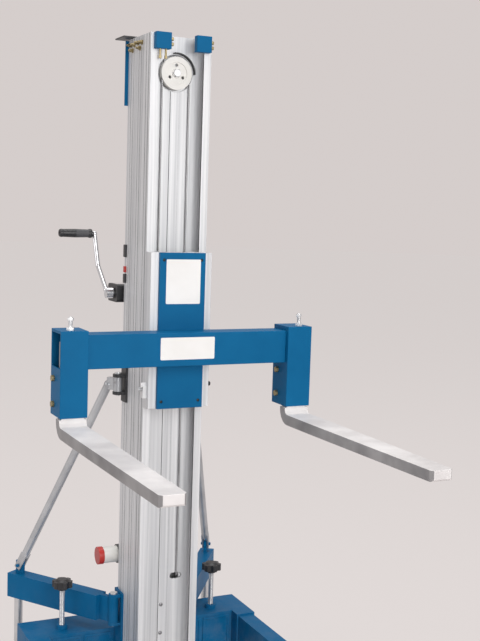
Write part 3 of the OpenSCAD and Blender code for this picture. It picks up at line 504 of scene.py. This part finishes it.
def rounded_copy(node, width, segments=2, parts=None, material=None):
    """A merged, bevelled copy of a node. parts maps a face's centre and normal to the place
    of its finish in the list material."""
    bm = bmesh.new()
    bm.from_mesh(nodes[node].data)
    for layer in list(bm.loops.layers.float_vector.values()):
        bm.loops.layers.float_vector.remove(layer)
    bmesh.ops.remove_doubles(bm, verts=bm.verts, dist=WELD)
    bmesh.ops.dissolve_limit(bm, angle_limit=math.radians(FLAT_DEGREES), verts=bm.verts,
                             edges=bm.edges)
    bm.normal_update()
    for face in bm.faces:
        face.material_index = parts(face.calc_center_median(), face.normal) if parts else 0
    shade_by_angle(bm, SMOOTH_DEGREES)
    thing = new_object(node + "_shell", bm)
    for item in material or [FINISH[slot_of[node]]]:
        thing.data.materials.append(item)
    round_off = thing.modifiers.new("rounded_edges", "BEVEL")
    round_off.width = width
    round_off.segments = segments
    round_off.limit_method = "ANGLE"
    round_off.angle_limit = math.radians(BEVEL_DEGREES)
    weigh = thing.modifiers.new("flat_faces", "WEIGHTED_NORMAL")
    weigh.keep_sharp = False
    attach(thing, nodes[node]["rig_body"])
    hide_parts(node)
    return thing


# %% Rounded edges of the painted steel
for node in ("base_frame", "left_leg", "right_leg", "fork_beam", "left_fork_bracket",
             "right_fork_bracket", "left_arm", "right_arm", "rear_head"):
    rounded_copy(node, 1.6 * MM)
for node in ("top_blocks", "carriage_plate"):
    rounded_copy(node, 1.2 * MM)

# %% [markdown]
# ## The mast
# The columns are drawn extrusions. Their edges are crisp but not sharp, so a bevel of half a
# millimetre or so is enough, and the drawn streaks of the finish run along their length.

# %% Columns and carriage channel
MAST_HALF, MOUTH_HALF, RIB_HALF = 0.089, 0.067, 0.013  # half widths across the mast
GROOVE_DEEP, GROOVE_SHALLOW, STEP_REACH = 0.0021, 0.0003, 0.0002


def groove_or_face(point, normal):
    """One in the side grooves, on the rib's flanks and on the lips' edges: painted shade with
    some grime.
    """
    side = abs(point.x)
    in_groove = MAST_HALF - GROOVE_DEEP < side < MAST_HALF - GROOVE_SHALLOW
    on_step = min(abs(side - RIB_HALF), abs(side - MOUTH_HALF)) < STEP_REACH
    return 1 if in_groove or on_step else 0


# The grooves, the rib's flanks and the lips' edges take the dark finish: painted shade, with
# some grime.
for node in ("column_1", "column_2", "column_3"):
    rounded_copy(node, 0.6 * MM, 1, groove_or_face, [FINISH["mast_aluminium"], GROOVE_SHADE_AND_GRIME])
rounded_copy("carriage_frame", 0.6 * MM, 1)

# %% Forks, plates and small steel
SIDEWAYS = 0.7  # a normal with more than this along X is a side's


def top_or_side(point, normal):
    return 1 if abs(normal.x) > SIDEWAYS else 0


# Each fork's sides take the darker finish, a painted shade, and its top takes the galvanised
# one.
for node in ("left_fork", "right_fork"):
    rounded_copy(node, 1.6 * MM, 2, top_or_side, [GALVANISED, FORK_SIDE_SHADE])
for node in ("column_top_plates", "brace_brackets", "winch_frame", "canister_bracket",
             "rope_anchor", "sheave_carrier"):
    rounded_copy(node, 0.7 * MM)
for node in ("left_caster_fork", "right_caster_fork", "left_jack", "right_jack"):
    rounded_copy(node, 0.8 * MM)
for node in ("left_brace", "right_brace"):
    rounded_copy(node, 0.8 * MM, material=[BRACE_STEEL])
for node in ("winch_drum", "drum_gear", "crank_shaft", "stabilizer_pins", "top_bolts",
             "base_bolts"):
    rounded_copy(node, 0.4 * MM, 1)
for node in ("head_sheave", "rear_sheave", "column_2_glides", "column_3_glides",
             "carriage_glides", "canister", "canister_cap", "rope_guard", "crank_arm"):
    rounded_copy(node, 0.5 * MM)

# %% [markdown]
# ## Wheels and hand grips
# A wheel is a rubber tread moulded on a grey hub. One solid holds both, so each face takes its
# finish from its distance to the axle. The crank's grip is split the same way along its length:
# a black body with a softer grey band.

# %% Wheels
TREAD = 0.019


def tread_or_hub(axle, rim):
    """A rule for the faces of one wheel: one inside its rim, and otherwise zero."""
    return lambda point, normal: int(math.hypot(point.y - axle.y, point.z - axle.z) < rim)


for side in SIDES:
    for node in (side + "_caster_wheel", side + "_rear_wheel"):
        low, high = corners_of(node)
        rule = tread_or_hub((low + high) / 2, (high.z - low.z) / 2 - TREAD)
        rounded_copy(node, 0.8 * MM, 2, rule, [FINISH["wheel_rubber"], WHEEL_HUB])

# %% Grip and knobs
BAND_START, BAND_END = 0.52, 0.9  # shares of the grip's length
grip_low, grip_high = corners_of("crank_grip")


def grip_part(point, normal):
    share = (point.x - grip_low.x) / (grip_high.x - grip_low.x)
    return 1 if BAND_START < share < BAND_END else 0


rounded_copy("crank_grip", 0.8 * MM, 2, grip_part, [FINISH["black_plastic"], GRIP_BAND])
for node in ("left_knob", "right_knob"):
    rounded_copy(node, 1.6 * MM, 3)
rounded_copy("winch_housing", 2.0 * MM, 3)

# %% [markdown]
# ## Wire rope
# A wire rope is six strands laid round a core. Each run is a curve with a six-lobed profile
# swept along it, and the tilt of its points grows with the length, so the lobes twist like the
# strands do. The curve is then made a mesh.

# %% Rope helper
ROPE_D = 5.0 * MM
LAY = 6.5 * ROPE_D  # the length of one full twist
ROPE_STEP = 1.8 * MM
STRANDS, STRAND_POINTS, VALLEY = 6, 3, 0.80


def rope_profile():
    count = STRANDS * STRAND_POINTS
    data = bpy.data.curves.new("rope_profile", "CURVE")
    data.dimensions = "2D"
    line = data.splines.new("POLY")
    line.points.add(count - 1)
    for i, point in enumerate(line.points):
        r = ROPE_D / 2 * (1.0 if i % STRAND_POINTS else VALLEY)
        a = 2 * math.pi * i / count
        point.co = (r * math.cos(a), r * math.sin(a), 0, 1)
    line.use_cyclic_u = True
    thing = bpy.data.objects.new("rope_profile", data)
    scene.collection.objects.link(thing)
    return thing


def along(corners):
    """Points at even steps on a route of straight runs."""
    points = [Vector(corners[0])]
    for start, end in zip(corners, corners[1:]):
        run = Vector(end) - Vector(start)
        count = max(1, round(run.length / ROPE_STEP))
        points += [Vector(start) + run * (i + 1) / count for i in range(count)]
    return points


def rope_run(name, corners, node, body=None):
    profile = rope_profile()
    points = along(corners)
    data = bpy.data.curves.new(name, "CURVE")
    data.dimensions = "3D"
    data.twist_mode = "MINIMUM"
    line = data.splines.new("POLY")
    line.points.add(len(points) - 1)
    travel = 0.0
    for i, (knot, place) in enumerate(zip(line.points, points)):
        travel += (place - points[i - 1]).length if i else 0.0
        knot.co = (*place, 1)
        knot.tilt = 2 * math.pi * travel / LAY
    data.bevel_mode = "OBJECT"
    data.bevel_object = profile
    data.use_fill_caps = True
    curve = bpy.data.objects.new(name + "_route", data)
    scene.collection.objects.link(curve)
    bpy.context.view_layer.update()
    swept = curve.evaluated_get(bpy.context.evaluated_depsgraph_get())
    mesh = bpy.data.meshes.new_from_object(swept)
    for used in (curve, profile):
        bpy.data.objects.remove(used)
    mesh.materials.clear()
    mesh.materials.append(FINISH["wire_rope"])
    for face in mesh.polygons:
        face.use_smooth = True
    thing = bpy.data.objects.new(name, mesh)
    scene.collection.objects.link(thing)
    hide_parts(node)
    if body:
        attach(thing, body)
    print(name, "length", round(travel, 3))
    return thing


def arc(centre, radius, across, up, start, end, steps=40):
    """Corners on a bend in the plane of two unit vectors."""
    turns = [math.radians(start + (end - start) * i / steps) for i in range(steps + 1)]
    return [centre + radius * (math.cos(a) * across + math.sin(a) * up) for a in turns]


# %% Rope on the head sheave and down to the slot
SHEAVE = Vector((0, MAST_Y - 0.051, 1.880))
SHEAVE_R = 0.040
SLOT_TOP, SLOT_BEND = 0.459, 0.012
route = arc(SHEAVE, SHEAVE_R, X_AXIS, Z_AXIS, 180, 0)
bend = Vector((SHEAVE_R, SHEAVE.y + SLOT_BEND, SLOT_TOP))
route += arc(bend, SLOT_BEND, Y_AXIS, Z_AXIS, 180, 270, 8)
rope_run("head_rope_strand", route, "head_rope", "column_3")

# %% Rope from the head sheave to the carriage
lift_low = corners_of("lift_rope")[0]
anchor = Vector((-SHEAVE_R, SHEAVE.y, lift_low.z))
leave = Vector((-SHEAVE_R, SHEAVE.y, SHEAVE.z))
lift = rope_run("lift_rope_strand", [anchor, leave], "lift_rope")
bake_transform(lift)

# %% Rope from the winch over the rear sheave
REAR = Vector((0, MAST_Y + 0.0882, 1.900))
WINCH_END, INNER_END = 1.2051, 0.125  # the heights where the rope's two falls end
route = [Vector((0, REAR.y + SHEAVE_R, WINCH_END))]
route += arc(REAR, SHEAVE_R, Y_AXIS, Z_AXIS, 0, 180)
route += [Vector((0, REAR.y - SHEAVE_R, INNER_END))]
rope_run("winch_rope_strand", route, "winch_rope", "base")

# %% Rope on the drum
DRUM = Vector((0, MAST_Y + 0.153, 1.186675))
ROPE_R, TURNS, PITCH = 0.0248, 9, 0.0058
TURN_STEPS = 48
route = []
for i in range(TURNS * TURN_STEPS + 1):
    a = 2 * math.pi * i / TURN_STEPS
    shift = (i / TURN_STEPS - TURNS / 2) * PITCH
    route.append(DRUM + Vector((shift, ROPE_R * math.cos(a), ROPE_R * math.sin(a))))
rope_run("drum_rope_strand", route, "rope_winding", "drum")

# %% [markdown]
# ## Threads
# The levelling screws and the studs on the fork brackets are threaded bars. A thread is one
# small triangle spun round the axis while it climbs, which the spin operator does when it is
# given an offset for each step. The bar under it is a profile spun once round.

# %% Thread helper
THREAD_DEPTH, THREAD_STEPS = 0.0011, 20
FLANK = 0.46  # a thread's half height, as a share of the pitch
TURNED_DEGREES = 35


def lathe(bm, profile, steps=40):
    """Spins a profile of (radius, z) once round Z and welds the seam."""
    line = [bm.verts.new((r, 0, z)) for r, z in profile]
    rims = [bm.edges.new(pair) for pair in zip(line, line[1:])]
    bmesh.ops.spin(bm, geom=line + rims, cent=(0, 0, 0), axis=(0, 0, 1),
                   angle=2 * math.pi, steps=steps, use_merge=True)
    bmesh.ops.remove_doubles(bm, verts=bm.verts, dist=1e-6)


def add_thread(bm, radius, low, high, pitch):
    turns = (high - low) / pitch
    root = radius - THREAD_DEPTH
    triangle = ((root, 0, low - pitch * FLANK), (radius, 0, low), (root, 0, low + pitch * FLANK))
    knots = [bm.verts.new(point) for point in triangle]
    sides = [bm.edges.new((knots[i], knots[(i + 1) % 3])) for i in range(3)]
    bmesh.ops.spin(bm, geom=knots + sides, cent=(0, 0, 0), axis=(0, 0, 1),
                   dvec=(0, 0, pitch / THREAD_STEPS), angle=2 * math.pi * turns,
                   steps=int(turns * THREAD_STEPS))


def threaded_bar(name, body, place, profile, radius, low, high, pitch, slot, node=None):
    bm = bmesh.new()
    lathe(bm, profile)
    add_thread(bm, radius, low, high, pitch)
    bmesh.ops.holes_fill(bm, edges=[e for e in bm.edges if e.is_boundary], sides=4)
    bmesh.ops.recalc_face_normals(bm, faces=bm.faces)
    shade_by_angle(bm, TURNED_DEGREES)
    bmesh.ops.translate(bm, verts=bm.verts, vec=place)
    thing = new_object(name, bm, FINISH[slot])
    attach(thing, body)
    if node:
        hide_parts(node)
    return thing


# %% Levelling screws
SCREW_R, SCREW_CORE, SCREW_PITCH = 0.008, 0.0069, 0.0040
THREAD_FOOT, THREAD_HEAD = 0.035, 0.004  # the plain lengths below and above the thread
PAD = [(0, 0), (0.0235, 0), (0.026, 0.0015), (0.026, 0.0048), (0.014, 0.010),
       (SCREW_CORE, 0.010)]
for side in SIDES:
    low, high = corners_of(side + "_screw")
    tall = high.z - low.z
    tip = [(SCREW_CORE, tall - 0.001), (0.0060, tall), (0, tall)]
    place = ((low.x + high.x) / 2, (low.y + high.y) / 2, low.z)
    threaded_bar(side + "_screw_thread", side + "_levelling_screw", place, PAD + tip, SCREW_R,
                 THREAD_FOOT, tall - THREAD_HEAD, SCREW_PITCH, "zinc_steel", side + "_screw")

# %% Bracket studs and bolts
STUD_R, STUD_PITCH = 0.0056, 0.0017
STUD_LOW, STUD_HIGH = 0.012, 0.0245
STUD_OUT, STUD_Y = 0.006, MAST_Y - 0.1997
STUD_CORE = [(0.0048, 0.010), (0.00492, 0.0105), (0.00492, 0.0250), (0.0048, 0.0255)]
TOP_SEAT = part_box("left_fork_bracket")[1][2] - 0.004  # bolts above this stand on the bracket


def side_or_top_bolt(point, normal):
    return 1 if point.z > TOP_SEAT else 0


rounded_copy("fork_bolts", 0.5 * MM, 1, side_or_top_bolt,
             [FINISH["yellow_zinc"], FINISH["zinc_steel"]])
for side, sign in SIDES.items():
    low, high = corners_of(side + "_fork_bracket")
    place = ((low.x + high.x) / 2 + STUD_OUT * sign, STUD_Y, high.z)
    threaded_bar(side + "_stud_thread", "carriage", place, STUD_CORE, STUD_R, STUD_LOW,
                 STUD_HIGH, STUD_PITCH, "zinc_steel")
print("threads done")

# %% [markdown]
# ## Blank labels
# Two blank white labels lie on the carriage. They have rounded corners and a thickness of a
# third of a millimetre. Each is a cube squeezed to a sheet, with the four edges across its
# thickness bevelled.

# %% Labels
LABEL_THICK, LABEL_PROUD, LABEL_CORNER = 0.00035, 0.0002, 0.003


def sticker(name, node, x, z, width, height):
    bm = block((width, LABEL_THICK, height))
    posts = [e for e in bm.edges if abs((e.verts[0].co - e.verts[1].co).y) > 1e-6]
    soften(bm, posts, LABEL_CORNER, 5)
    front = corners_of(node)[0].y
    bmesh.ops.translate(bm, verts=bm.verts, vec=(x, front - LABEL_PROUD, z))
    thing = new_object(name, bm, BLANK_LABEL)
    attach(thing, "carriage")
    return thing


sticker("plate_label", "carriage_plate", 0.002, 1.311, 0.101, 0.122)
sticker("beam_label", "fork_beam", -0.008, 1.136, 0.157, 0.060)
print("labels done")

# %% [markdown]
# ## Screws and small fittings
# Small fittings give the eye its sense of scale: domed screws in the plate's corners, on the
# front column's web and on the head sheave's hub, a spring on the carriage latch, a dark stop
# pin, and a bright chrome strip on the winch's cover that is a painted highlight. A domed screw
# is a short profile spun round, then turned to face the front.

# %% Domed screw helper
FRONT = (0, -1, 0)
SMALL_STEPS = 20  # sides of a small turned piece
DOME = ((0, 0), (1, 0), (1, 0.28), (0.8, 0.5), (0.45, 0.62), (0.45, 0.3), (0, 0.3))


def facing(bm, direction, place):
    """Turns what was made along Z to a direction and moves it to its place."""
    turn = Z_AXIS.rotation_difference(Vector(direction)).to_matrix()
    bmesh.ops.rotate(bm, verts=bm.verts, cent=(0, 0, 0), matrix=turn)
    bmesh.ops.translate(bm, verts=bm.verts, vec=place)


def domed_screws(name, body, places, radius, slot):
    bm = bmesh.new()
    for place in places:
        one = bmesh.new()
        lathe(one, [(radius * r, radius * z) for r, z in DOME], SMALL_STEPS)
        bmesh.ops.recalc_face_normals(one, faces=one.faces)
        facing(one, FRONT, place)
        add_copy(bm, one)
    shade_by_angle(bm, TURNED_DEGREES)
    thing = new_object(name, bm, FINISH[slot])
    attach(thing, body)
    return thing


# %% Screws of the plate, the web and the sheave
PLATE_SCREW_R, WEB_SCREW_R, HUB_SCREW_R = 0.0042, 0.0055, 0.0014
PLATE_IN, PLATE_END, PLATE_SINK = 0.012, 0.020, 0.0029
plate_low, plate_high = corners_of("carriage_plate")
places = [(x, plate_low.y + PLATE_SINK, z)
          for x in (plate_low.x + PLATE_IN, plate_high.x - PLATE_IN)
          for z in (plate_low.z + PLATE_END, plate_high.z - PLATE_END)]
domed_screws("plate_screws", "carriage", places, PLATE_SCREW_R, "black_steel")

WEB_X, WEB_FRONT = -0.005, MAST_Y - MAST_HALF + 0.041
places = [(WEB_X, WEB_FRONT, z) for z in (0.366, 0.281)]
domed_screws("web_screws", "column_3", places, WEB_SCREW_R, "gear_steel")

HUB_RING, HUB_SCREWS, HUB_SINK = 0.0113, 6, 0.0002
wheel_low, wheel_high = corners_of("head_sheave")
hub = (wheel_low + wheel_high) / 2
places = []
for i in range(HUB_SCREWS):
    a = 2 * math.pi * i / HUB_SCREWS
    places.append((hub.x + HUB_RING * math.cos(a), wheel_low.y + HUB_SINK,
                   hub.z + HUB_RING * math.sin(a)))
domed_screws("sheave_hub_screws", "head_sheave", places, HUB_SCREW_R, "gear_steel")

# %% Latch spring
SPRING_R, SPRING_WIRE, SPRING_PITCH, SPRING_TURNS = 0.0052, 0.0013, 0.0019, 4
SPRING_STEPS = 20


def coil_spring(name, body, start, axis, slot):
    """A ring of wire spun round the axis while it climbs, with its two ends closed."""
    bm = bmesh.new()
    ring = bmesh.ops.create_circle(bm, segments=8, radius=SPRING_WIRE / 2)["verts"]
    upright = Matrix.Rotation(math.radians(90), 3, "X")
    bmesh.ops.rotate(bm, verts=ring, cent=(0, 0, 0), matrix=upright)
    bmesh.ops.translate(bm, verts=ring, vec=(SPRING_R, 0, 0))
    bmesh.ops.spin(bm, geom=bm.verts[:] + bm.edges[:], cent=(0, 0, 0), axis=(0, 0, 1),
                   dvec=(0, 0, SPRING_PITCH / SPRING_STEPS), angle=2 * math.pi * SPRING_TURNS,
                   steps=SPRING_STEPS * SPRING_TURNS)
    bmesh.ops.holes_fill(bm, edges=[e for e in bm.edges if e.is_boundary], sides=8)
    bmesh.ops.recalc_face_normals(bm, faces=bm.faces)
    for face in bm.faces:
        face.smooth = True
    facing(bm, axis, start)
    thing = new_object(name, bm, FINISH[slot])
    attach(thing, body)
    return thing


latch_low = corners_of("carriage_latch")[0]
spring_start = (-0.1018, latch_low.y + 0.010, latch_low.z + 0.024)
rounded_copy("carriage_latch", 0.8 * MM)
coil_spring("latch_spring", "carriage", spring_start, (-1, 0, 0), "zinc_steel")

# %% Stop pin and the painted highlight on the winch cover
PIN = [(0, 0), (0.004, 0), (0.004, 0.006), (0.0062, 0.0065), (0.0062, 0.0105),
       (0.0045, 0.012), (0, 0.012)]
PIN_PLACE = (0.090, MAST_Y - 0.112, 1.021)
bm = bmesh.new()
lathe(bm, PIN, SMALL_STEPS)
bmesh.ops.recalc_face_normals(bm, faces=bm.faces)
facing(bm, (1, 0, 0), PIN_PLACE)
pin = new_object("carriage_stop_pin", bm, FINISH["black_plastic"])
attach(pin, "carriage")

# A thin chrome strip on the top of the winch's cover: a painted highlight where the light
# catches its top.
STRIP_SIZE, STRIP_EDGE = (0.030, 0.056, 0.0012), 0.0004
STRIP_IN, STRIP_PROUD = 0.020, 0.0004
house_low, house_high = corners_of("winch_housing")
bm = block(STRIP_SIZE)
soften(bm, bm.edges[:], STRIP_EDGE, 2)
bmesh.ops.translate(bm, verts=bm.verts, vec=(
    house_low.x + STRIP_IN, (house_low.y + house_high.y) / 2, house_high.z + STRIP_PROUD))
highlight_strip = new_object("winch_cover_highlight", bm, FINISH["chrome"])
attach(highlight_strip, "base")
print("fittings done")

# %% [markdown]
# ## Details of the mast and the base
# Three things break up the large plain faces: bolts through the top of the mast's left side,
# where the ropes end, two clips with a red tab on the mast's rear edge, and sunk panels on the
# front of the cross beam. A sunk panel is a plate whose front face is inset and pushed back.

# %% Bolts through the top of the mast
BOLT_R, BOLT_LENGTH = 0.0032, 0.013
NUT_R, NUT_HEIGHT, NUT_AT = 0.0056, 0.006, 0.004
WASHER_R, WASHER_HEIGHT = NUT_R * 1.25, 0.0014
BOLT_SPOTS = ((0.009, 0.020), (0.024, 0.034), (0.040, 0.018))  # back and down from the corner


def disc(bm, sides, radius, height, middle):
    ring = bmesh.ops.create_cone(bm, cap_ends=True, segments=sides, radius1=radius,
                                 radius2=radius, depth=height)
    bmesh.ops.translate(bm, verts=ring["verts"], vec=(0, 0, middle))


def cross_bolt(bm, place):
    """A bolt's end with its nut and washer, facing left."""
    one = bmesh.new()
    lathe(one, [(0, 0), (BOLT_R, 0), (BOLT_R, BOLT_LENGTH), (0, BOLT_LENGTH)], 16)
    disc(one, 6, NUT_R, NUT_HEIGHT, NUT_AT)
    disc(one, 24, WASHER_R, WASHER_HEIGHT, WASHER_HEIGHT / 2)
    bmesh.ops.recalc_face_normals(one, faces=one.faces)
    facing(one, (-1, 0, 0), place)
    add_copy(bm, one)


mast_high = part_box("column_2")[1][2]
for name, body, front in (("rear_rope_bolts", "base", 0.031),
                          ("middle_rope_bolts", "column_2", -0.029)):
    bm = bmesh.new()
    for back, down in BOLT_SPOTS:
        cross_bolt(bm, (-MAST_HALF, MAST_Y + front + back, mast_high - down))
    bolts = new_object(name, bm, FINISH["yellow_zinc"])
    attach(bolts, body)

# %% Clips on the mast's rear edge
CLIP_EDGE = 0.0018
CLIP_OUT, CLIP_Y = -MAST_HALF - 0.006, MAST_Y + 0.070
CLIPS = (  # name, front, back, bottom, top, slot
    ("upper_mast_clip", CLIP_Y, CLIP_Y + 0.016, 1.366, 1.402, "black_plastic"),
    ("lower_mast_clip", CLIP_Y, CLIP_Y + 0.016, 1.292, 1.318, "black_plastic"),
    ("mast_clip_tab", CLIP_Y + 0.002, CLIP_Y + 0.014, 1.322, 1.340, "red_plastic"),
)
for name, front, back, bottom, top, slot in CLIPS:
    low, high = Vector((CLIP_OUT, front, bottom)), Vector((-MAST_HALF, back, top))
    bm = block(high - low)
    bmesh.ops.translate(bm, verts=bm.verts, vec=(high + low) / 2)
    soften(bm, bm.edges[:], CLIP_EDGE, 3)
    clip = new_object(name, bm, FINISH[slot])
    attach(clip, "base")

# %% Sunk panels on the cross beam
BEAM_FRONT = MAST_Y + 0.100
PANEL_LOW, PANEL_HIGH = 0.152, 0.244
PANEL_PROUD, PANEL_FRAME, PANEL_SLOPE, PANEL_SINK = 0.003, 0.009, 0.002, 0.0024
PANEL_EDGE, RIM_RADIANS = 0.0006, 0.5


def sunk_panel(name, low_x, high_x):
    bm = block((high_x - low_x, PANEL_PROUD, PANEL_HIGH - PANEL_LOW))
    bmesh.ops.translate(bm, verts=bm.verts, vec=(
        (low_x + high_x) / 2, BEAM_FRONT - PANEL_PROUD / 2, (PANEL_LOW + PANEL_HIGH) / 2))
    bm.faces.ensure_lookup_table()
    bm.normal_update()
    face = min(bm.faces, key=lambda f: f.normal.y)
    bmesh.ops.inset_region(bm, faces=[face], thickness=PANEL_FRAME)
    bmesh.ops.inset_region(bm, faces=[face], thickness=PANEL_SLOPE, depth=-PANEL_SINK)
    rims = [e for e in bm.edges if e.is_manifold and e.calc_face_angle(0) > RIM_RADIANS]
    soften(bm, rims, PANEL_EDGE, 2)
    thing = new_object(name, bm, FINISH["blue_paint"])
    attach(thing, "base")


for side, sign in SIDES.items():
    for part, near, far in (("inner", 0.104, 0.188), ("outer", 0.196, 0.286)):
        sunk_panel(f"{side}_{part}_panel", *sorted((sign * near, sign * far)))
print("details done")

# %% [markdown]
# ## The last look
# What is left shows its CAD solid with the finish of its slot.

# %% Plain nodes and the end
for name, item in nodes.items():
    if not item.hide_render:
        item.data.materials.clear()
        item.data.materials.append(FINISH[slot_of[name]])
        print("plain node", name)
